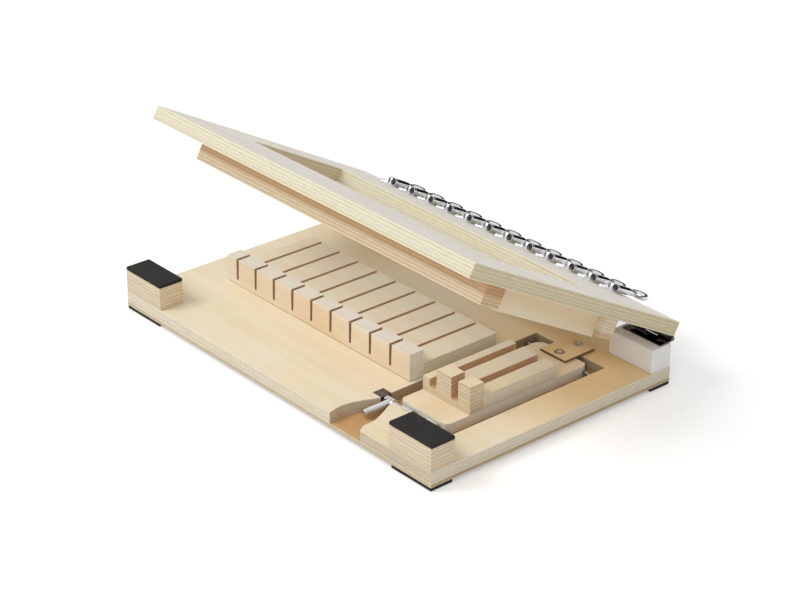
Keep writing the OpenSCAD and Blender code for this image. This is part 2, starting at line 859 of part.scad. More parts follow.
// Worm shaft, neck and oval button of one machine
module tuner_knob(k) {
    edge = button_t / 2;
    worm_start = worm_front_f - plug_t + plug_proud - body_gap;
    neck_start = collar_end + body_gap;
    color(steel) on_frame() translate([wire_x(k - 1) + worm_shift, 0, frame_t + worm_h]) {
        translate([0, -worm_start, 0]) along_y(worm_r, worm_start + neck_start + neck_l);
        translate([0, neck_start, 0]) along_y(neck_r, neck_l + edge);
        translate([0, neck_start + neck_l + button_dia / 2, 0])
            rotate_extrude() {
                translate([0, -edge]) square([button_dia / 2 - edge, button_t]);
                translate([button_dia / 2 - edge, 0]) circle(r = edge);
            }
    }
}

// Post with its worm wheel, held in the machine's case
module string_post(k) {
    color(steel) on_frame() translate([wire_x(k - 1) - post_shift, -post_f, 0]) difference() {
        union() {
            translate([0, 0, -post_drop]) cylinder(r = post_r, h = post_drop + wheel_z);
            translate([0, 0, wheel_z]) cylinder(r = wheel_r, h = wheel_t);
        }
        translate([0, -2 * post_r, -string_hole_h]) along_y(string_hole_r, 4 * post_r);
    }
}

// Route of a wire from its anchor through the bars and round its post, with the wire on x = 0
coil_points = [for (i = [0:coil_turns * coil_steps])
    let (a = 360 * i / coil_steps)
    [coil_r * cos(a) - post_shift, coil_r * sin(a) - post_f, coil_pitch * i / coil_steps - coil_start_h]];
wire_route = concat(
    [[0, -anchor_f, -wire_drop],
     [0, -back_bar_f - wire_bend, -wire_drop],
     [0, -back_bar_f + wire_bend, -wire_drop + wire_bend / 4]],
    coil_points);
coil_self_gap = min([for (i = [0:len(coil_points) - 1]) for (j = [i + coil_steps / 2:len(coil_points) - 1])
    norm(coil_points[i] - coil_points[j])]) - wire_dia;
echo(coil_self_gap = coil_self_gap);

function unit(v) = v / norm(v);
function heading(p, i) = unit(unit(p[min(i + 1, len(p) - 1)] - p[max(i - 1, 0)]));
function ring(p, i, r, n) =
    let (t = heading(p, i), side = unit(cross(t, [0, 0, 1])), up = cross(side, t))
    [for (s = [0:n - 1]) p[i] + side * (r * cos(360 * s / n)) + up * (r * sin(360 * s / n))];

// Tube along a route, with flat ends
module swept(route, r, n) {
    last = len(route) - 1;
    points = [for (i = [0:last]) each ring(route, i, r, n)];
    sides = [for (i = [0:last - 1]) for (s = [0:n - 1]) each
        let (a = i * n + s, b = i * n + (s + 1) % n)
        [[a, b, a + n], [b, b + n, a + n]]];
    start = [for (s = [1:n - 2]) [0, s + 1, s]];
    end = [for (s = [1:n - 2]) [last * n, last * n + s, last * n + s + 1]];
    polyhedron(points, concat(sides, start, end));
}

module cutting_wires() {
    color(steel) on_frame() at_machines() swept(wire_route, wire_dia / 2, wire_sides);
}

module wire_anchors() {
    color("goldenrod") on_frame() at_machines()
        translate([0, -anchor_f, -bar_h + anchor_inset]) difference() {
            cylinder(r = anchor_r, h = anchor_h);
            translate([0, -wire_bend, bar_h - anchor_inset - wire_drop])
                along_y(wire_dia / 2 + running_fit, 2 * anchor_r);
        }
}

lower_board();
upper_board();
left_stop_block();
right_stop_block();
stop_pads();
rubber_feet();
bed_board();
front_fence();
left_hinge_block();
right_hinge_block();
hinge_base_leaves();
hinge_pins();
hinge_base_screws();
base_screws();
shaft_bearings();
guide_rod();
strap_base_screw();
carriage_plate();
carriage_bed();
carriage_comb();
strap_carriage_screw();
retaining_strap();
cam_shaft();
lever_handle();
frame_panel();
lower_front_bar();
lower_back_bar();
left_side_bar();
right_side_bar();
hinge_frame_leaves();
hinge_frame_screws();
tuner_housings();
tuner_end_plugs();
tuner_screws();
cutting_wires();
wire_anchors();
for (k = MACHINES) {
    tuner_knob(k);
    string_post(k);
}
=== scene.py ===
import json
import math

import bmesh
import bpy
from mathutils import Matrix, Vector

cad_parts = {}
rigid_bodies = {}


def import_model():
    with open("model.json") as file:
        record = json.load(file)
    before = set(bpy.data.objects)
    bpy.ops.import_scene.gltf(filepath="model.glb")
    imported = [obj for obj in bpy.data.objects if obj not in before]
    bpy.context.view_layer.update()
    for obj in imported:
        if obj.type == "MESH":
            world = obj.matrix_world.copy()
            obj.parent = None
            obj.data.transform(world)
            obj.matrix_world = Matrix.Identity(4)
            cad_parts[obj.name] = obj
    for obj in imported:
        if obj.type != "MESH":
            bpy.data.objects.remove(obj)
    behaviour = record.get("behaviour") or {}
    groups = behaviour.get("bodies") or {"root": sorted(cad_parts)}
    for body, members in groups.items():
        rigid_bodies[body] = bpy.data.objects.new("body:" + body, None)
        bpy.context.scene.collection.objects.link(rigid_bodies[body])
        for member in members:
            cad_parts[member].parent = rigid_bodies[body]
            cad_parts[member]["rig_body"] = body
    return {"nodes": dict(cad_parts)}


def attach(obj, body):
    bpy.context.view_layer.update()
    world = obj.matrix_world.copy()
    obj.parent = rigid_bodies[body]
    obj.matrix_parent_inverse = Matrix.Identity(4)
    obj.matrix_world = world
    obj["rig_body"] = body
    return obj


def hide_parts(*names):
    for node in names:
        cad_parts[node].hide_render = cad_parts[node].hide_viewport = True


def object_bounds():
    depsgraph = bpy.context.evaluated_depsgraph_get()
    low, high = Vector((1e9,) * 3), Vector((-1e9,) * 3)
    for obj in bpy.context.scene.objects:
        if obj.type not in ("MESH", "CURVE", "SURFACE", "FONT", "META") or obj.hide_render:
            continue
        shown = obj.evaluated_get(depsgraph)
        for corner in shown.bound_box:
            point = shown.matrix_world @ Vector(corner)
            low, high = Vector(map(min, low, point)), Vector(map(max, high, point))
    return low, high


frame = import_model()
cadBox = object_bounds()
cad = frame["nodes"]
print("soap cutter: frame loaded,", len(cad), "nodes")


def linear(text):
    # sRGB hex to the linear colour that shaders take
    parts = [int(text[i:i + 2], 16) / 255 for i in (1, 3, 5)]
    return tuple(c / 12.92 if c <= 0.04045 else ((c + 0.055) / 1.055) ** 2.4 for c in parts) + (1.0,)


# Places of the object's own drawings, in mm: the base from its front left corner,
# the hinged frame lying flat with its back edge on y = 0 and its underside on z = 0
layout = {
    "baseSize": (396.0, 260.0),
    "hingeAxis": (262.5, 37.1),
    "behindFrame": 1.6,
    "barrelRadius": 2.5,
    "openAngle": 28.7,
    "upperBoardUnderside": 3.5,
    "plateUnderside": 3.8,
    "boardTop": 13.2,
    "strapUnderside": 13.5,
    "fenceFront": -49.5,
    "frameThickness": 12.5,
    "barHeight": 19.7,
    "firstWire": 51.8,
    "wirePitch": 25.4,
    "wireCount": 12,
}
toMetres = Matrix.Scale(0.001, 4)
onBase = toMetres @ Matrix.Translation((-layout["baseSize"][0] / 2, -layout["baseSize"][1] / 2, 0))
onFrame = (onBase @ Matrix.Translation((0, layout["hingeAxis"][0], layout["hingeAxis"][1]))
           @ Matrix.Rotation(-math.radians(layout["openAngle"]), 4, "X")
           @ Matrix.Translation((0, -layout["behindFrame"], layout["barrelRadius"])))

# Camera of the photograph
cameraLook = {
    "place": (1.2865, -1.1097, 0.9022),
    "azimuth": 48.9625,
    "elevation": 26.9241,
    "roll": 0.4659,
    "lens": 102.781,
    "sensorWidth": 36,
    "clipEnd": 20,
}
camera = bpy.data.objects.new("camera", bpy.data.cameras.new("camera"))
bpy.context.scene.collection.objects.link(camera)
camera.matrix_world = (Matrix.Translation(cameraLook["place"])
                       @ Matrix.Rotation(math.radians(cameraLook["azimuth"]), 4, "Z")
                       @ Matrix.Rotation(math.radians(90 - cameraLook["elevation"]), 4, "X")
                       @ Matrix.Rotation(math.radians(cameraLook["roll"]), 4, "Z"))
camera.data.lens = cameraLook["lens"]
camera.data.sensor_width = cameraLook["sensorWidth"]
camera.data.clip_end = cameraLook["clipEnd"]
bpy.context.scene.camera = camera
bpy.context.scene.view_settings.view_transform = "Standard"


def addNode(tree, kind, inputs=None, stops=(), **settings):
    # One shader node: its settings, the (place, hex colour) stops of a ramp, then its inputs, as numbers,
    # as sockets to link or as nodes whose first output is linked
    node = tree.nodes.new("ShaderNode" + kind)
    for name, value in settings.items():
        setattr(node, name, value)
    if stops:
        points = node.color_ramp.elements
        while len(points) < len(stops):
            points.new(1.0)
        for point, (place, colour) in zip(points, stops):
            point.position = place
            point.color = linear(colour)
    for name, value in (inputs or {}).items():
        if isinstance(value, bpy.types.Node):
            value = value.outputs[0]
        if isinstance(value, bpy.types.NodeSocket):
            tree.links.new(value, node.inputs[name])
        else:
            node.inputs[name].default_value = value
    return node


def newMaterial(name):
    material = bpy.data.materials.new(name)
    material.use_nodes = True
    tree = material.node_tree
    tree.nodes.clear()
    shader = addNode(tree, "BsdfPrincipled")
    output = addNode(tree, "OutputMaterial", {"Surface": shader})
    return material, tree, shader, output


# Birch plywood: sanded and left bare, so its veneer is pale, dry and hardly glossy. Sawn edges show the
# plies, about 1.4 mm each, every second one across its grain and a little darker, with thin glue lines
plywoodLook = {
    "faceColours": ("#eedfc0", "#f2e5ca", "#f5ead3"),
    # Warm tone of the veneer's random clouds, also used for the painted warm bounce light
    "warmCloudAndBounce": "#dfb67b",
    "bounceLightPlaces": (),               # (centre, size, share) of the spots with painted warm bounce light, mm
    "longPly": "#f4ecd8",
    "crossPly": "#e9ddc0",
    "endTone": "#eee6da",
    # Colour of the randomly warmer plies, also used for the painted shade under the panel
    "warmPlyAndShade": "#d3a272",
    "warmPlyAndShadeStrength": 0.55,
    "warmShare": 0.0,               # of all plies
    "shadeBandAbove": 1000.0,            # height from which every ply takes the warm colour as painted shade under the panel, mm
    "plySeed": 0.37,
    "plyVariation": 0.1,
    "plyThickness": 1.39,
    "plyWander": 0.25,              # how far a ply strays from its height, in plies
    "wanderLength": 20.0,
    "glueLine": "#76684f",
    "glueStrength": 0.75,
    "glueWidth": 0.17,              # in plies, on each side of the joint
    # A thin dark line painted along a block's foot: painted shade of the gap where it stands on the board
    "footShadeHeight": 0.0,
    "footShadeLine": "#6e4c2b",
    "footShadeStrength": 0.75,
    # Darker, warmer tone of cut faces: partly the cut plies' own tone and scorch, partly painted shade inside
    # slots and recesses
    "cutAndShadeColour": "#b98a5a",
    "cutAndShadeStrength": 0.75,
    "figureWidth": 16.0,
    "figureLength": 260.0,
    "figureRange": (0.28, 0.46, 0.66),      # of the noise, for the three face colours
    "patchSize": 120.0,
    "patchRange": (0.46, 0.68),
    "fibreWidth": 0.8,
    "fibreLength": 36.0,
    "fibreTone": "#e6ddd0",
    "fibreRange": (0.3, 0.55),
    "fibreStrength": 0.22,
    "streakWidth": 0.35,
    "streakLength": 9.0,
    "streakTone": "#cdc0ab",
    "streakRange": (0.3, 0.6),
    "streakStrength": 0.35,
    "sideLimit": 0.75,              # of the normal, over which a side is a face or an end
    "roughness": 0.6,
    "specular": 0.3,
    "bumpStrength": 0.12,
    "bumpDepth": 0.1,
}


def birchPlywood(name, turn=(0, 0, 0), firstPly=0.0, warmth=0.35, changes=None):
    # turn brings the layers' normal onto Z and the face grain onto X, and firstPly is where the plies start, mm
    look = dict(plywoodLook, **(changes or {}))
    material, tree, shader, output = newMaterial(name)
    angles = tuple(math.radians(a) for a in turn)
    place = addNode(tree, "TexCoord")
    turned = addNode(tree, "Mapping", {"Vector": place.outputs["Object"], "Rotation": angles,
                                       "Scale": (1000, 1000, 1000)})
    facing = addNode(tree, "Mapping", {"Vector": place.outputs["Normal"], "Rotation": angles},
                     vector_type="VECTOR")
    along, _, across = addNode(tree, "SeparateXYZ", {0: facing}).outputs
    depth = addNode(tree, "SeparateXYZ", {0: turned}).outputs[2]
    sides = []
    for part in (across, along):
        share = addNode(tree, "Math", {0: part}, operation="ABSOLUTE")
        sides.append(addNode(tree, "Math", {0: share, 1: look["sideLimit"]}, operation="GREATER_THAN"))
    isFace, isEnd = sides

    # Noise stretched along the grain, for these sizes in mm, and plain noise
    noise = {}
    for grain, size, detail in (
            ("figure", (look["figureLength"], look["figureWidth"], look["figureWidth"]),
             {"Detail": 3.0, "Roughness": 0.5, "Distortion": 0.35}),
            ("fibre", (look["fibreLength"], look["fibreWidth"], look["fibreWidth"]),
             {"Detail": 2.0, "Roughness": 0.6}),
            ("streak", (look["streakLength"], look["streakLength"], look["streakWidth"]), {"Detail": 2.0})):
        at = addNode(tree, "Mapping", {"Vector": turned, "Scale": tuple(1 / s for s in size)})
        noise[grain] = addNode(tree, "TexNoise", {"Vector": at, "Scale": 1.0, **detail})
    cloud = addNode(tree, "TexNoise", {"Vector": turned, "Scale": 1 / look["patchSize"], "Detail": 1.5})
    wander = addNode(tree, "TexNoise", {"Vector": turned, "Scale": 1 / look["wanderLength"], "Detail": 1.0})

    # Face veneer: broad soft figure, fine fibres and warm clouds, and painted warm bounce light in the listed
    # places
    face = addNode(tree, "ValToRGB", {"Fac": noise["figure"]}, list(zip(look["figureRange"], look["faceColours"])))
    clouds = addNode(tree, "ValToRGB", {"Fac": cloud}, list(zip(look["patchRange"], ("#000000", "#ffffff"))))
    fibres = addNode(tree, "ValToRGB", {"Fac": noise["fibre"]},
                     list(zip(look["fibreRange"], (look["fibreTone"], "#ffffff"))))
    warmCloudAndBounce = linear(look["warmCloudAndBounce"])
    layers = [(addNode(tree, "Math", {0: clouds, 1: warmth}, operation="MULTIPLY"), warmCloudAndBounce, "MIX")]
    # Painted warm bounce light: a soft spot of warmer colour round each listed place
    for centre, size, share in look["bounceLightPlaces"]:
        nearAt = addNode(tree, "Mapping", {"Vector": turned, "Scale": tuple(1 / s for s in size),
                                           "Location": tuple(-c / s for c, s in zip(centre, size))})
        near = addNode(tree, "TexGradient", {"Vector": nearAt}, gradient_type="SPHERICAL").outputs["Fac"]
        extent = addNode(tree, "Math", {0: cloud, 1: share}, operation="ADD")
        near = addNode(tree, "Math", {0: near, 1: extent}, operation="MULTIPLY")
        layers.append((addNode(tree, "Clamp", {0: near}), warmCloudAndBounce, "MIX"))
    layers.append((look["fibreStrength"], fibres, "MULTIPLY"))
    for share, tone, how in layers:
        face = addNode(tree, "Mix", {0: share, 6: face, 7: tone}, data_type="RGBA", blend_type=how).outputs[2]

    # Edge: plies counted up from firstPly, which stray a little from their height
    for how, value in (("SUBTRACT", 0.5), ("MULTIPLY", look["plyWander"])):
        wander = addNode(tree, "Math", {0: wander, 1: value}, operation=how)
    count = depth
    for how, value in (("SUBTRACT", firstPly), ("DIVIDE", look["plyThickness"]), ("ADD", wander)):
        count = addNode(tree, "Math", {0: count, 1: value}, operation=how)
    within = addNode(tree, "Math", {0: count}, operation="FRACT")
    index = addNode(tree, "Math", {0: count}, operation="FLOOR")
    odd = index
    for how, value in (("MULTIPLY", 0.5), ("FRACT", 0.0), ("GREATER_THAN", 0.25)):
        odd = addNode(tree, "Math", {0: odd, 1: value}, operation=how)
    seed = addNode(tree, "Math", {0: index, 1: look["plySeed"]}, operation="ADD")
    chance = addNode(tree, "TexWhiteNoise", {"W": seed}, noise_dimensions="1D")
    chosen = addNode(tree, "Math", {0: chance, 1: 1 - look["warmShare"]}, operation="GREATER_THAN")
    # Painted shade: plies high on the front bar, close under the panel, all take the warm dark colour
    high = addNode(tree, "Math", {0: depth, 1: look["shadeBandAbove"]}, operation="GREATER_THAN")
    warmPliesAndShadeBand = addNode(tree, "Math", {0: chosen, 1: high}, operation="MAXIMUM")

    # The plies are long and cross grain in turn, some of them warmer, with streaks along each and a glue line
    # at each joint; on the front bar the plies close under the panel carry painted shade. The end grain, on the
    # sides that the face veneer's fibres run into, is darker
    streaks = addNode(tree, "ValToRGB", {"Fac": noise["streak"]},
                      list(zip(look["streakRange"], (look["streakTone"], "#ffffff"))))
    glue = addNode(tree, "ValToRGB", {"Fac": within}, [(0.0, "#ffffff"), (look["glueWidth"], "#000000"),
                                                       (1 - look["glueWidth"], "#000000"), (1.0, "#ffffff")])
    warmAndShadeShare, varied, glued = [addNode(tree, "Math", {0: part, 1: look[strength]}, operation="MULTIPLY")
                             for part, strength in ((warmPliesAndShadeBand, "warmPlyAndShadeStrength"), (chance, "plyVariation"),
                                                    (glue, "glueStrength"))]
    plies = linear(look["longPly"])
    for share, tone, how in (
            (odd, linear(look["crossPly"]), "MIX"), (warmAndShadeShare, linear(look["warmPlyAndShade"]), "MIX"),
            (varied, linear(look["glueLine"]), "MIX"), (look["streakStrength"], streaks, "MULTIPLY"),
            (glued, linear(look["glueLine"]), "MIX"), (isEnd, linear(look["endTone"]), "MULTIPLY")):
        plies = addNode(tree, "Mix", {0: share, 6: plies, 7: tone}, data_type="RGBA", blend_type=how).outputs[2]

    # Where a block stands on the board, a thin dark line is painted low on it: painted shade of the gap at its
    # foot
    footShade = addNode(tree, "SeparateXYZ", {0: place.outputs["Object"]}).outputs[2]
    for how, value in (("LESS_THAN", look["footShadeHeight"] / 1000), ("MULTIPLY", look["footShadeStrength"])):
        footShade = addNode(tree, "Math", {0: footShade, 1: value}, operation=how)
    colour = plies
    for share, tone in ((isFace, face), (footShade, linear(look["footShadeLine"]))):
        colour = addNode(tree, "Mix", {0: share, 6: colour, 7: tone}, data_type="RGBA").outputs[2]

    # Faces that the router or the laser cut into the wood are darker and warmer: on the strap's laser-cut edge
    # this is its scorch; inside the slots, the recess and the pocket it is partly the cut plies' own tone and
    # partly painted shade
    cut = addNode(tree, "Attribute", attribute_name="cutAndShadeFace").outputs["Fac"]
    cutToneAndShade = addNode(tree, "Mix", {0: look["cutAndShadeStrength"], 6: colour, 7: linear(look["cutAndShadeColour"])},
                       data_type="RGBA", blend_type="MULTIPLY").outputs[2]
    colour = addNode(tree, "Mix", {0: cut, 6: colour, 7: cutToneAndShade}, data_type="RGBA").outputs[2]

    bump = addNode(tree, "Bump", {"Height": noise["fibre"], "Strength": look["bumpStrength"],
                                  "Distance": look["bumpDepth"] / 1000})
    tree.links.new(colour, shader.inputs["Base Color"])
    tree.links.new(bump.outputs[0], shader.inputs["Normal"])
    shader.inputs["Roughness"].default_value = look["roughness"]
    shader.inputs["Specular IOR Level"].default_value = look["specular"]
    return material


# Where the plies start on the hinged frame, once its slope is turned back
slope = layout["openAngle"]
frameUnderside = (Matrix.Rotation(math.radians(slope), 4, "X") @ onFrame @ Vector((0, 0, 0))).z * 1000
barUnderside = frameUnderside - layout["barHeight"]
shadeBandDepth = 11.0     # painted shade covers the front bar from this far under the panel up, mm

boardWood = birchPlywood("birch_plywood_base", firstPly=layout["upperBoardUnderside"], warmth=0.2, changes={
    "faceColours": ("#efe1c1", "#f2e5c9", "#f4e9d1"), "longPly": "#f7f1e2", "endTone": "#ffffff",
    # a painted pool of warm bounce light at the back right, near the right hinge, under the raised frame
    "warmCloudAndBounce": "#f2cd90", "bounceLightPlaces": [((160, 85, 13), (150, 125, 60), 0.5)],
    "glueStrength": 0.8, "cutAndShadeColour": "#a5866a", "cutAndShadeStrength": 0.7})
# The lower board's face shows only as the floor of the recess and the pocket; its darker, more orange colour is
# painted shade and warm bounce light of that hollow
thinBoardWood = birchPlywood("birch_plywood_lower_board", changes={
    "faceColours": ("#c2965f", "#cba26e", "#d3ad7c"), "longPly": "#e6dabd", "crossPly": "#d2c29d",
    "plyThickness": 1.17})
blockWood = birchPlywood("birch_plywood_blocks", firstPly=layout["boardTop"], warmth=0.2, changes={
    "longPly": "#f0e5cf", "crossPly": "#e8d6b4", "endTone": "#ffffff", "plyThickness": 1.72,
    "glueLine": "#80502a", "glueStrength": 0.95, "footShadeHeight": 13.6,
    "cutAndShadeColour": "#dca35c", "cutAndShadeStrength": 0.5})
bedWood = birchPlywood("birch_plywood_beds", firstPly=layout["boardTop"], warmth=0.3, changes={
    "longPly": "#f9f2e2", "crossPly": "#f0e5cc", "endTone": "#ffffff", "glueLine": "#957f5e",
    "footShadeHeight": 13.6, "cutAndShadeColour": "#d9a05a", "cutAndShadeStrength": 0.6})
plateWood = birchPlywood("birch_plywood_carriage_plate", turn=(0, 0, 90), firstPly=layout["plateUnderside"],
                         warmth=0.1, changes={
    "faceColours": ("#f1ddb9", "#f4e2c3", "#f7e9cf"), "longPly": "#fffbee", "crossPly": "#faf1da",
    "endTone": "#ffffff", "glueStrength": 0.5})
fenceWood = birchPlywood("birch_plywood_fence", turn=(90, 0, 0), firstPly=layout["fenceFront"],
                         warmth=0.6, changes={
    "faceColours": ("#e3d1b3", "#e8d9be", "#ede1cb"), "warmCloudAndBounce": "#dfb98a", "longPly": "#fffaf0",
    "crossPly": "#f9f0de", "endTone": "#ffffff", "glueStrength": 0.55, "footShadeHeight": 13.75,
    "cutAndShadeColour": "#b5854f"})
panelWood = birchPlywood("birch_plywood_hinged_frame", turn=(slope, 0, 0), firstPly=frameUnderside,
                         warmth=0.05, changes={
    "faceColours": ("#f9f0e3", "#fcf6eb", "#fefaf2"), "longPly": "#f8f3dc", "crossPly": "#ece4c6",
    "endTone": "#f4eee3", "glueLine": "#6b5d40"})
backBarWood = birchPlywood("birch_plywood_back_bar", turn=(slope, 0, 0), firstPly=barUnderside,
                           warmth=0.3, changes={
    "endTone": "#ffffff", "warmShare": 0.15, "glueLine": "#94703f"})
# Front bar: its plies close under the panel carry a band of painted warm shade
frontBarWood = birchPlywood("birch_plywood_front_bar", turn=(slope, 0, 0), firstPly=barUnderside,
                            warmth=0.3, changes={
    "longPly": "#f5e8d0", "crossPly": "#e6cea8", "warmPlyAndShade": "#c48c58",
    "shadeBandAbove": frameUnderside - shadeBandDepth, "glueLine": "#96703f"})
sideBarWood = birchPlywood("birch_plywood_side_bars", turn=(slope, -90, 90), warmth=0.25, changes={
    "faceColours": ("#ddcaa8", "#e3d2b2", "#e8d9bd")})
strapWood = birchPlywood("birch_plywood_thin_strap", turn=(0, 0, 90), firstPly=layout["strapUnderside"],
                         warmth=0.2, changes={
    "faceColours": ("#e9c793", "#efd1a1", "#f3daaf"), "plyThickness": 0.73,
    "cutAndShadeColour": "#84592f", "cutAndShadeStrength": 0.9})

# Shared by all plain finishes: the part of the noise that tone and roughness follow, and the bump's depth, mm
finishLook = {"toneRange": (0.35, 0.65), "gritRange": (0.3, 0.7), "bumpDepth": 0.05}


def plainMaterial(name, look):
    # One finish with a faint grain in its tone, roughness and surface; grit and broad are sizes in mm
    material, tree, shader, output = newMaterial(name)
    place = addNode(tree, "TexCoord").outputs["Object"]
    grit, broad = [addNode(tree, "TexNoise", {"Vector": place, "Scale": 1000 / look[size], "Detail": detail})
                   for size, detail in (("grit", 3.0), ("broad", 2.0))]
    colour = addNode(tree, "ValToRGB", {"Fac": broad},
                     list(zip(finishLook["toneRange"], (look["dark"], look["light"]))))
    tree.links.new(colour.outputs[0], shader.inputs["Base Color"])
    rough = addNode(tree, "MapRange", {
        "Value": grit, "From Min": finishLook["gritRange"][0], "From Max": finishLook["gritRange"][1],
        "To Min": look["roughness"][0], "To Max": look["roughness"][1]})
    tree.links.new(rough.outputs[0], shader.inputs["Roughness"])
    bump = addNode(tree, "Bump", {"Height": grit, "Strength": look["bump"],
                                  "Distance": finishLook["bumpDepth"] / 1000})
    tree.links.new(bump.outputs[0], shader.inputs["Normal"])
    shader.inputs["Metallic"].default_value = look["metallic"]
    return material


# Moulded black rubber: matt, very dark grey, faintly pebbled
rubber = plainMaterial("moulded_black_rubber", {
    "dark": "#0c0b0a", "light": "#171513", "grit": 0.6, "broad": 14.0,
    "roughness": (0.65, 0.85), "bump": 0.4, "metallic": 0.0})
# Machined white polyethylene: waxy white, satin, with a soft edge
whitePlastic = plainMaterial("machined_white_polyethylene", {
    "dark": "#ebe9e6", "light": "#f1f0ee", "grit": 1.2, "broad": 30.0,
    "roughness": (0.38, 0.5), "bump": 0.15, "metallic": 0.0})
# Chrome plate on the machine heads and the lever: mirror bright, slightly blue
chrome = plainMaterial("bright_chrome_plate", {
    "dark": "#cfd0d2", "light": "#dcdddf", "grit": 2.0, "broad": 20.0,
    "roughness": (0.06, 0.12), "bump": 0.02, "metallic": 1.0})
# Polished nickel on the hinges and bearings: darker and warmer than chrome, with a slight haze; the darkness is
# partly a dark finish and partly a painted reflection of the frame's shaded underside
nickel = plainMaterial("polished_nickel_plate", {
    "dark": "#57524c", "light": "#6b655d", "grit": 2.0, "broad": 16.0,
    "roughness": (0.14, 0.24), "bump": 0.05, "metallic": 1.0})
# Zinc-plated steel of the screws and the rod: grey, duller
zinc = plainMaterial("zinc_plated_steel", {
    "dark": "#8d8d8c", "light": "#a8a8a6", "grit": 1.0, "broad": 8.0,
    "roughness": (0.25, 0.4), "bump": 0.1, "metallic": 1.0})
# Screws in the strap: brighter, brushed zinc
brushedZinc = plainMaterial("brushed_bright_zinc", {
    "dark": "#cfcabf", "light": "#e2ded4", "grit": 0.8, "broad": 6.0,
    "roughness": (0.4, 0.55), "bump": 0.15, "metallic": 0.55})
# Turned brass of the wires' ball ends
brass = plainMaterial("turned_brass", {
    "dark": "#b08d45", "light": "#c9a659", "grit": 1.0, "broad": 8.0,
    "roughness": (0.2, 0.35), "bump": 0.05, "metallic": 1.0})
# Drawn music wire: bright steel with a fine drawn surface
wireSteel = plainMaterial("drawn_music_wire", {
    "dark": "#9b9a98", "light": "#b5b4b1", "grit": 0.8, "broad": 10.0,
    "roughness": (0.2, 0.3), "bump": 0.05, "metallic": 1.0})
# Black end plugs of the machine heads: glossy moulded nylon
blackNylon = plainMaterial("moulded_black_nylon", {
    "dark": "#0c0c0c", "light": "#161616", "grit": 0.8, "broad": 6.0,
    "roughness": (0.2, 0.3), "bump": 0.1, "metallic": 0.0})
print("soap cutter: materials made")

mergeDistance = 1e-6     # m, for the loose triangles of a CAD node
seamDistance = 1e-4      # in the shape's own unit, for points that a full turn or a tube leaves double


def bodyOf(name):
    return cad[name]["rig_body"]


def meshObject(name, bm, material):
    # Turns a finished bmesh into an object of the scene
    mesh = bpy.data.meshes.new(name)
    bm.to_mesh(mesh)
    bm.free()
    mesh.materials.append(material)
    made = bpy.data.objects.new(name, mesh)
    bpy.context.scene.collection.objects.link(made)
    return made


def finishPiece(bm, name, material, body, nodes, place=None, sharpAngle=35, cutAndShadeFaces=None):
    if place is not None:
        bm.transform(place)
    # Faces picked here get the darker cut tone, which includes painted shade in slots and recesses
    if cutAndShadeFaces is not None:
        layer = bm.faces.layers.float.new("cutAndShadeFace")
        corner = Vector((layout["baseSize"][0] / 2, layout["baseSize"][1] / 2, 0))
        for face in bm.faces:
            face[layer] = cutAndShadeFaces(face.calc_center_median() * 1000 + corner, face.normal)
    piece = meshObject(name, bm, material)
    piece.data.shade_smooth()
    piece.data.set_sharp_from_angle(angle=math.radians(sharpAngle))
    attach(piece, body)
    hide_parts(*nodes)
    return piece


# Edges are broken where two faces meet at more than edgeAngle; faces within flatAngle count as one
edgeRule = {"flatAngle": 0.5, "edgeAngle": 50, "faceWeight": 90}


def softened(node, material, slot, width, segments=2, least=4.0, cutAndShadeFaces=None):
    # A copy of a CAD node with its sharp edges broken, as sanding leaves them; width and least length in mm
    bm = bmesh.new()
    bm.from_mesh(cad[node].data)
    bmesh.ops.remove_doubles(bm, verts=bm.verts, dist=mergeDistance)
    bmesh.ops.dissolve_limit(bm, angle_limit=math.radians(edgeRule["flatAngle"]), verts=bm.verts,
                             edges=bm.edges)
    edges = [e for e in bm.edges if len(e.link_faces) == 2
             and e.calc_face_angle() > math.radians(edgeRule["edgeAngle"]) and e.calc_length() > least / 1000]
    bmesh.ops.bevel(bm, geom=edges, offset=width / 1000, offset_type="OFFSET", segments=segments, profile=0.5,
                    affect="EDGES", clamp_overlap=True, material=-1)
    name = "wood_" + node if slot == "plywood_face" else "part_" + node
    piece = finishPiece(bm, name, material, bodyOf(node), [node], cutAndShadeFaces=cutAndShadeFaces)
    # Flat faces stay flat beside their rounded edges
    weighted = piece.modifiers.new("flat_faces", "WEIGHTED_NORMAL")
    weighted.weight = edgeRule["faceWeight"]
    weighted.keep_sharp = True


# Wire slots, in mm: (shift from the wire, half width) in the main bed and in the carriage's bed and comb
slotPlaces = {"clearOfBoard": 0.5, "wireBetweenBeds": 9, "mainBed": (0, 1.6), "carriage": (0.8, 4.2)}


def inSlot(centre, normal):
    # The side walls of the slots in fence, beds and comb
    if centre.z < layout["boardTop"] + slotPlaces["clearOfBoard"] or abs(normal.y) >= 0.5:
        return 0.0
    for k in range(layout["wireCount"]):
        shift, halfWidth = slotPlaces["carriage" if k > slotPlaces["wireBetweenBeds"] else "mainBed"]
        wireAt = layout["firstWire"] + k * layout["wirePitch"]
        if k != slotPlaces["wireBetweenBeds"] and abs(centre.x - wireAt - shift) < halfWidth:
            return 1.0
    return 0.0


# Outline of what the router took out of the upper board, in mm; the pocket's wall gets less of the darker cut tone
# and painted shade
recess = {"left": 265, "right": 370, "back": 225, "pocketBack": 55, "pocketTone": 0.45}


def inRecess(centre, normal):
    # The carriage's recess, the finger pocket and the bearing's notch in the upper board
    if (abs(normal.z) > 0.5 or centre.x < recess["left"] or centre.x > recess["right"]
            or centre.y > recess["back"]):
        return 0.0
    return recess["pocketTone"] if centre.y < recess["pocketBack"] else 1.0


def laserEdge(centre, normal):
    # The strap's own outline and its holes
    return 1.0 if abs(normal.z) < 0.9 else 0.0


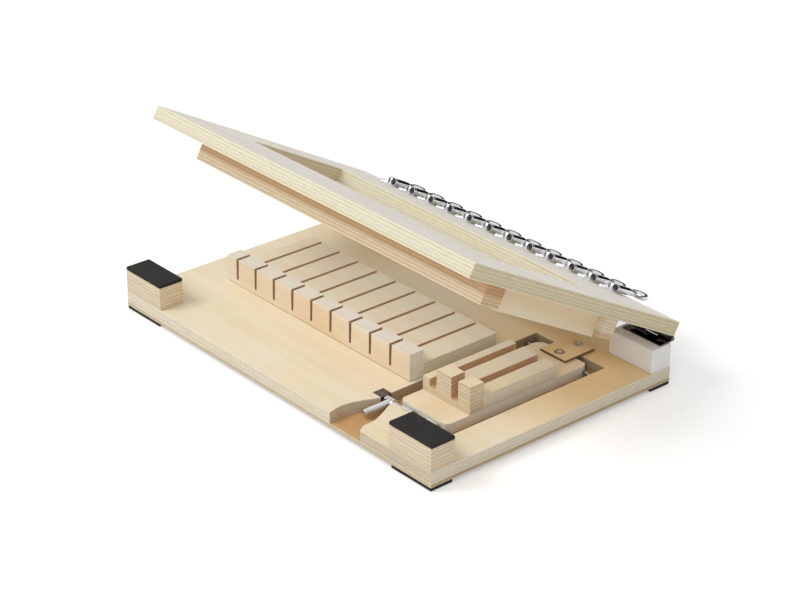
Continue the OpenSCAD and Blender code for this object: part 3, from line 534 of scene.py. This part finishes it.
woodPieces = [
    ("upper_board", boardWood, 0.35, inRecess), ("lower_board", thinBoardWood, 0.25, None),
    ("left_stop_block", blockWood, 0.4, None), ("right_stop_block", blockWood, 0.4, None),
    ("bed_board", bedWood, 0.35, inSlot), ("front_fence", fenceWood, 0.35, inSlot),
    ("carriage_plate", plateWood, 0.5, None), ("carriage_bed", bedWood, 0.35, inSlot),
    ("carriage_comb", blockWood, 0.35, inSlot), ("retaining_strap", strapWood, 0.2, laserEdge),
    ("frame_panel", panelWood, 0.45, None), ("lower_front_bar", frontBarWood, 0.4, None),
    ("lower_back_bar", backBarWood, 0.4, None), ("left_side_bar", sideBarWood, 0.4, None),
    ("right_side_bar", sideBarWood, 0.4, None),
]
for node, wood, width, cut in woodPieces:
    softened(node, wood, "plywood_face", width, cutAndShadeFaces=cut)
for node in ("stop_pads", "rubber_feet"):
    softened(node, rubber, "black_rubber", 0.7, segments=3, least=1.0)
for node in ("left_hinge_block", "right_hinge_block"):
    softened(node, whitePlastic, "white_plastic", 1.1, segments=3, least=8.0)
metalPieces = [
    ("hinge_base_leaves", nickel, "dark_steel", 0.2), ("hinge_frame_leaves", nickel, "dark_steel", 0.2),
    ("hinge_pins", nickel, "steel", 0.2), ("hinge_base_screws", zinc, "steel", 0.08),
    ("hinge_frame_screws", zinc, "steel", 0.08), ("base_screws", zinc, "steel", 0.1),
    ("shaft_bearings", nickel, "steel", 0.25), ("guide_rod", zinc, "steel", 0.2),
    ("cam_shaft", chrome, "chrome", 0.2), ("lever_handle", chrome, "chrome", 0.25),
    ("tuner_screws", chrome, "chrome", 0.15), ("wire_anchors", brass, "brass", 0.3),
]
metalPieces += [(f"string_post_{k}", chrome, "chrome", 0.25) for k in range(1, layout["wireCount"] + 1)]
for node, metal, slot, width in metalPieces:
    softened(node, metal, slot, width, least=0.8)

# Screws of the strap: the head stands clear of its seat all round, so a dark ring shows about it
strapScrew = {"headRadius": 2.95}
for node in ("strap_base_screw", "strap_carriage_screw"):
    bm = bmesh.new()
    bm.from_mesh(cad[node].data)
    bmesh.ops.remove_doubles(bm, verts=bm.verts, dist=mergeDistance)
    axis = sum((v.co for v in bm.verts), Vector()).xy / len(bm.verts)
    for vert in bm.verts:
        out = vert.co.xy - axis
        if out.length > strapScrew["headRadius"] / 1000:
            out *= strapScrew["headRadius"] / 1000 / out.length
            vert.co.x, vert.co.y = axis.x + out.x, axis.y + out.y
    bmesh.ops.dissolve_degenerate(bm, dist=mergeDistance, edges=bm.edges)
    finishPiece(bm, "head_of_" + node, brushedZinc, bodyOf(node), [node])
print("soap cutter: CAD pieces dressed")


def lathe(bm, outline, place, steps=32):
    # Turns an outline of (radius, height) pairs round Z and puts the solid in its place
    old = set(bm.verts)
    points = [bm.verts.new((radius, 0, height)) for radius, height in outline]
    edges = [bm.edges.new(pair) for pair in zip(points, points[1:])]
    bmesh.ops.spin(bm, geom=points + edges, cent=(0, 0, 0), axis=(0, 0, 1), dvec=(0, 0, 0), angle=2 * math.pi,
                   steps=steps, use_merge=True, use_duplicate=False)
    bmesh.ops.remove_doubles(bm, verts=[v for v in bm.verts if v not in old], dist=seamDistance)
    bmesh.ops.recalc_face_normals(bm, faces=[f for f in bm.faces if f.verts[0] not in old])
    bmesh.ops.transform(bm, matrix=place, verts=[v for v in bm.verts if v not in old])


def repeatAlongX(bm):
    # Copies everything drawn so far to each of the other wires' places
    first = bm.verts[:] + bm.edges[:] + bm.faces[:]
    for k in range(1, layout["wireCount"]):
        copy = bmesh.ops.duplicate(bm, geom=first)["geom"]
        bmesh.ops.translate(bm, vec=(layout["wirePitch"] * k, 0, 0),
                            verts=[g for g in copy if isinstance(g, bmesh.types.BMVert)])


alongY = Matrix.Rotation(-math.pi / 2, 4, "X")      # turns a lathe's Z axis onto +Y, to the back
atFirstWire = onFrame @ Matrix.Translation((layout["firstWire"], 0, 0))

# Machine head: a round case over the wheel, a smooth barrel over the worm and an ear with one screw
machineHead = {
    "caseCentre": (-2.8, -9.5),
    "caseOutline": [(0, 0), (6.0, 0), (6.0, 0.9), (5.75, 1.2), (5.75, 5.7), (5.6, 6.3), (5.2, 6.7), (4.6, 6.88),
                    (4.1, 6.85), (3.9, 6.6), (3.3, 6.5), (1.5, 6.5), (1.45, 6.75), (1.0, 6.9), (0, 6.95)],
    "wormAxis": (4.4, 4.3),
    "barrelFront": -18.0,
    "barrelStart": [(0, 1.2), (2.85, 1.2), (2.85, 0.15), (3.0, 0.0), (3.12, 0.0), (3.4, 0.3), (3.4, 1.6),
                    (3.25, 1.8), (3.25, 2.1), (3.4, 2.3)],
    "barrelEnd": [(3.4, 17.6), (3.3, 18.4), (2.9, 18.8), (2.9, 19.6), (2.65, 19.8), (2.65, 20.3), (2.9, 20.5),
                  (2.9, 22.7), (2.6, 23.0), (2.2, 23.0), (2.2, 20.0), (0, 20.0)],
    "earCentre": (-13.6, -13.0),
    "earOutline": [(0, 0), (2.8, 0), (2.8, 1.1), (2.65, 1.4), (2.35, 1.5), (0, 1.5)],
    "earThickness": 1.4,
    "neckWidth": 4.6,
    "neckRound": 0.3,
}
bm = bmesh.new()
top = layout["frameThickness"]
caseX, caseY = machineHead["caseCentre"]
lathe(bm, machineHead["caseOutline"], Matrix.Translation((caseX, caseY, top)), steps=40)
wormX, wormHeight = machineHead["wormAxis"]
barrelAt = Matrix.Translation((wormX, machineHead["barrelFront"], top + wormHeight)) @ alongY
lathe(bm, machineHead["barrelStart"] + machineHead["barrelEnd"], barrelAt, steps=36)
earX, earY = machineHead["earCentre"]
lathe(bm, machineHead["earOutline"], Matrix.Translation((earX, earY, top)), steps=28)
reach = Vector((earX - caseX, earY - caseY, 0))
neck = bmesh.ops.create_cube(bm, size=1, matrix=(
    Matrix.Translation(Vector((caseX, caseY, top + machineHead["earThickness"] / 2)) + reach / 2)
    @ Matrix.Rotation(math.atan2(reach.y, reach.x), 4, "Z")
    @ Matrix.Diagonal((reach.length, machineHead["neckWidth"], machineHead["earThickness"], 1))))["verts"]
bmesh.ops.bevel(bm, geom=list({e for v in neck for e in v.link_edges}), offset=machineHead["neckRound"],
                segments=2, profile=0.5, affect="EDGES", material=-1)
repeatAlongX(bm)
finishPiece(bm, "machine_head_housings", chrome, "frame", ["tuner_housings"], atFirstWire, sharpAngle=28)

# Moulded plug that closes the barrel's front end, slightly dished
endPlug = {"outline": [(0, 0.3), (1.3, 0.26), (2.1, 0.08), (2.45, 0.0), (2.65, 0.08), (2.75, 0.3), (2.75, 1.4),
                       (0, 1.4)], "standsOut": 0.4}
bm = bmesh.new()
plugAt = Matrix.Translation((wormX, machineHead["barrelFront"] - endPlug["standsOut"], top + wormHeight)) @ alongY
lathe(bm, endPlug["outline"], plugAt)
repeatAlongX(bm)
finishPiece(bm, "machine_head_end_plugs", blackNylon, "frame", ["tuner_end_plugs"], atFirstWire)

# Worm shaft, neck and flat round button with a full soft rim, one for each machine head
button = {"radius": 8.0, "half": 3.75, "fullness": 0.78, "centre": 16.0, "steps": 18,
          "neck": [(0, 2.6), (2.15, 2.6), (2.15, 5.3), (2.7, 5.35), (2.7, 5.75), (2.45, 6.2), (2.2, 7.0),
                   (2.25, 7.8), (2.5, 8.6), (2.5, 10.5), (0, 10.5)]}
rim = []
for step in range(button["steps"] + 1):
    turn = math.pi * (step / button["steps"] - 0.5)
    rim.append((button["radius"] * max(math.cos(turn), 0) ** button["fullness"],
                button["half"] * math.copysign(abs(math.sin(turn)) ** button["fullness"], turn)))
rim[0], rim[-1] = (0, -button["half"]), (0, button["half"])
for k in range(1, layout["wireCount"] + 1):
    bm = bmesh.new()
    wireX = layout["firstWire"] + (k - 1) * layout["wirePitch"]
    lathe(bm, rim, Matrix.Translation((wireX + wormX, button["centre"], top + wormHeight)), steps=40)
    lathe(bm, button["neck"], Matrix.Translation((wireX + wormX, 0, top + wormHeight)) @ alongY, steps=28)
    knob = f"tuner_knob_{k}"
    finishPiece(bm, f"machine_head_button_{k}", chrome, bodyOf(knob), [knob], onFrame)
print("soap cutter: machine heads made")

# Cutting wires: from the ball end in the front bar, through both bars, then one turn and a quarter
# round the post
wire = {"radius": 0.3, "anchor": (-201.4, -18.0), "backBar": -50.8, "bend": 0.5, "bendRise": 0.125,
        "coilRadius": 2.8, "coilStart": -11.2, "coilPitch": 1.2, "coilTurns": 1.25, "coilSteps": 36}
curve = bpy.data.curves.new("wireRoute", "CURVE")
curve.dimensions = "3D"
curve.bevel_depth = wire["radius"]
curve.bevel_resolution = 2
curve.use_fill_caps = True
anchorY, anchorZ = wire["anchor"]
route = [(0, anchorY, anchorZ), (0, wire["backBar"] - wire["bend"], anchorZ),
         (0, wire["backBar"] + wire["bend"], anchorZ + wire["bendRise"])]
for step in range(int(wire["coilTurns"] * wire["coilSteps"]) + 1):
    angle = 2 * math.pi * step / wire["coilSteps"]
    route.append((caseX + wire["coilRadius"] * math.cos(angle), caseY + wire["coilRadius"] * math.sin(angle),
                  wire["coilStart"] + wire["coilPitch"] * step / wire["coilSteps"]))
spline = curve.splines.new("POLY")
spline.points.add(len(route) - 1)
for point, place in zip(spline.points, route):
    point.co = (*place, 1)
holder = bpy.data.objects.new("wireRoute", curve)
bm = bmesh.new()
bm.from_mesh(holder.to_mesh())
holder.to_mesh_clear()
bpy.data.objects.remove(holder)
bmesh.ops.remove_doubles(bm, verts=bm.verts, dist=seamDistance)
bmesh.ops.recalc_face_normals(bm, faces=bm.faces)
repeatAlongX(bm)
finishPiece(bm, "cutting_wires_drawn", wireSteel, "frame", ["cutting_wires"], atFirstWire, sharpAngle=60)
print("soap cutter: wires made")


def backdropRays(tree):
    # 1 where the camera, a reflection or glass looks at the background, 0 for light that falls on the object
    path = addNode(tree, "LightPath")
    seen = path.outputs["Is Camera Ray"]
    for ray in ("Is Glossy Ray", "Is Transmission Ray"):
        seen = addNode(tree, "Math", {0: seen, 1: path.outputs[ray]}, operation="MAXIMUM")
    return seen


# Stage: a pale floor that keeps the shadow, and a white surround for the camera and for reflections.
# The floor fades to plain white between fadeStart and fadeEnd from the object, in m
stageLook = {"floorSize": 12.0, "floorDrop": 0.0002, "floorColour": "#f4f3f1", "floorRoughness": 0.9,
             "floorSpecular": 0.1, "floorGlow": 0.3, "fadeStart": 0.45, "fadeEnd": 1.6, "skyLight": 0.57,
             "ringRadius": 0.95, "ringHeight": 0.38, "ringColour": "#050505", "ringRoughness": 1.0,
             "lampAim": (0, 0, 0.05)}
paper, tree, shader, output = newMaterial("matt_white_paper")
shader.inputs["Base Color"].default_value = linear(stageLook["floorColour"])
shader.inputs["Roughness"].default_value = stageLook["floorRoughness"]
shader.inputs["Specular IOR Level"].default_value = stageLook["floorSpecular"]
spot = addNode(tree, "TexCoord").outputs["Object"]
away = addNode(tree, "VectorMath", {0: spot}, operation="LENGTH").outputs["Value"]
fade = addNode(tree, "MapRange", {
    "Value": away, "From Min": stageLook["fadeStart"], "From Max": stageLook["fadeEnd"],
    "To Min": stageLook["floorGlow"], "To Max": 1.0})
strength = addNode(tree, "Math", {0: backdropRays(tree), 1: fade}, operation="MULTIPLY")
glow = addNode(tree, "Emission", {"Color": (1, 1, 1, 1), "Strength": strength})
both = addNode(tree, "AddShader", {0: shader, 1: glow})
tree.links.new(both.outputs[0], output.inputs["Surface"])
bm = bmesh.new()
bmesh.ops.create_grid(bm, x_segments=1, y_segments=1, size=stageLook["floorSize"] / 2)
bm.transform(Matrix.Translation((0, 0, cadBox[0][2] - stageLook["floorDrop"])))
meshObject("floor", bm, paper)

# A low ring of black card round the object gives polished metal its dark bands: only reflections see it
felt, tree, shader, output = newMaterial("black_felt")
shader.inputs["Base Color"].default_value = linear(stageLook["ringColour"])
shader.inputs["Roughness"].default_value = stageLook["ringRoughness"]
bm = bmesh.new()
lathe(bm, [(stageLook["ringRadius"], 0), (stageLook["ringRadius"], stageLook["ringHeight"])],
      Matrix.Translation((0, 0, cadBox[0][2])), steps=64)
card = meshObject("black_card", bm, felt)
card.visible_camera = card.visible_diffuse = card.visible_transmission = card.visible_shadow = False

world = bpy.data.worlds.new("soft_studio")
world.use_nodes = True
bpy.context.scene.world = world
tree = world.node_tree
tree.nodes.clear()
strength = addNode(tree, "MapRange", {"Value": backdropRays(tree), "To Min": stageLook["skyLight"], "To Max": 1.0})
sky = addNode(tree, "Background", {"Color": (1, 1, 1, 1), "Strength": strength})
addNode(tree, "OutputWorld", {"Surface": sky})

lamps = [
    {"name": "soft_key", "place": (-0.9, -1.5, 1.9), "size": 1.3, "power": 26.5},
    {"name": "soft_fill", "place": (1.15, -1.25, 0.75), "size": 1.4, "power": 4.6},
]
for look in lamps:
    light = bpy.data.lights.new(look["name"], "AREA")
    light.shape = "DISK"
    light.size = look["size"]
    light.energy = look["power"]
    lamp = bpy.data.objects.new(look["name"], light)
    lamp.location = look["place"]
    aim = Vector(stageLook["lampAim"]) - Vector(look["place"])
    lamp.rotation_euler = aim.to_track_quat("-Z", "Y").to_euler()
    bpy.context.scene.collection.objects.link(lamp)
print("soap cutter: stage and lamps set")
